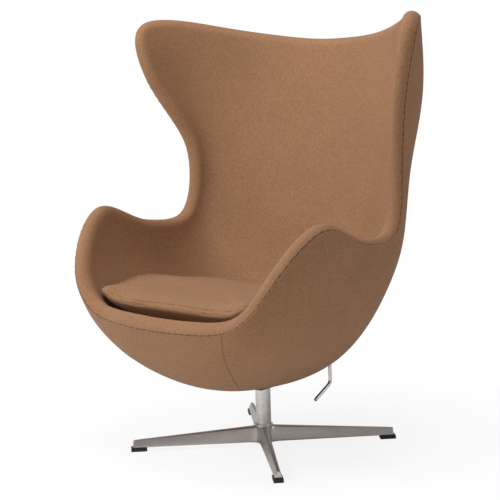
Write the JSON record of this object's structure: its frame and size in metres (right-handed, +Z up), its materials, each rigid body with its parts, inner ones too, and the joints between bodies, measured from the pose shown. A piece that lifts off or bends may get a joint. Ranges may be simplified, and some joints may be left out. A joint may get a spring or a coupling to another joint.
{
  "type": "swivel lounge chair with a padded egg shaped shell",
  "caption": "Lounge chair: padded one piece shell with wings and arms, loose seat cushion, tilting seat with hand lever, swivel column and star base with glides.",
  "frame": {"origin": "middle of the outline seen from above, at floor level; the column's axis is 0.0257 m behind it", "axes": "+X to the viewer's right seen from the front, +Y to the back of the chair, +Z up"},
  "size_m": [0.9068, 0.7038, 1.0689],
  "materials": {
    "felt": "woven wool felt",
    "felt_under": "woven wool felt",
    "thread": "twisted thread",
    "foam": "open foam",
    "core_shell": "rough moulded",
    "base_metal": "satin polished",
    "tube_metal": "satin",
    "bright_steel": "ground",
    "dark_steel": "matt black paint",
    "spring_steel": "oiled",
    "black_rubber": "matt",
    "glide_plastic": "matt",
    "bush_plastic": "smooth",
    "brass": "turned"
  },
  "bodies": {
    "base": {"star_base": "base_metal", "glide_front_left": "glide_plastic", "glide_front_right": "glide_plastic", "glide_back_left": "glide_plastic", "glide_back_right": "glide_plastic", "glide_screws": "bright_steel", "hub_screw": "bright_steel", "column_tube": "tube_metal", "column_collar": "tube_metal", "upper_bush": "bush_plastic", "lower_bush": "bush_plastic", "thrust_washer": "brass"},
    "swivel_unit": {"spindle": "bright_steel", "spindle_clip": "spring_steel", "spindle_washer": "bright_steel", "tilt_housing": "dark_steel", "housing_screws": "bright_steel", "pivot_shaft": "bright_steel", "pivot_clips": "spring_steel", "front_buffers": "black_rubber", "rear_stops": "black_rubber", "lock_block": "dark_steel", "tilt_spring": "spring_steel"},
    "seat_shell": {"seat_plate": "dark_steel", "pivot_bushes": "bush_plastic", "seat_bolts": "bright_steel", "threaded_inserts": "brass", "lever_bracket": "dark_steel", "lever_bushes": "bush_plastic", "pawl_guide": "dark_steel", "shell_core": "core_shell", "inner_padding": "foam", "outer_padding": "foam", "inner_cover": "felt", "outer_cover": "felt", "front_panel": "felt", "rim_stitching": "thread"},
    "tilt_lever": {"lever_rod": "tube_metal", "lock_arm": "dark_steel"},
    "pawl": {"lock_pawl": "bright_steel"},
    "seat_cushion": {"cushion_foam": "foam", "cushion_top_cover": "felt", "cushion_under_cover": "felt_under", "cushion_stitching": "thread"}
  },
  "joints": [
    {"name": "swivel", "type": "hinge", "parent": "base", "child": "swivel_unit", "pos_m": [0, 0.0257, 0.157], "axis": [0, 0, 1], "continuous": true},
    {"name": "tilt", "type": "hinge", "parent": "swivel_unit", "child": "seat_shell", "pos_m": [0, -0.0043, 0.186], "axis": [-1, 0, 0], "range_deg": [0, 8], "stiffness_Nm_per_rad": 350, "springref_deg": -11.46, "deforming": ["tilt_spring"]},
    {"name": "lever_turn", "type": "hinge", "parent": "seat_shell", "child": "tilt_lever", "pos_m": [0.041, 0.1337, 0.222], "axis": [-1, 0, 0], "range_deg": [0, 20]},
    {"name": "pawl_slide", "type": "slide", "parent": "seat_shell", "child": "pawl", "axis": [0, -1, 0], "range_m": [0, 0.0115]},
    {"name": "cushion_lift", "type": "slide", "parent": "seat_shell", "child": "seat_cushion", "axis": [0, 0, 1], "range_m": [0, 0.3]}
  ],
  "couplings": [
    {"joint": "pawl_slide", "follows": "lever_turn", "m_per_rad": 0.0325}
  ]
}
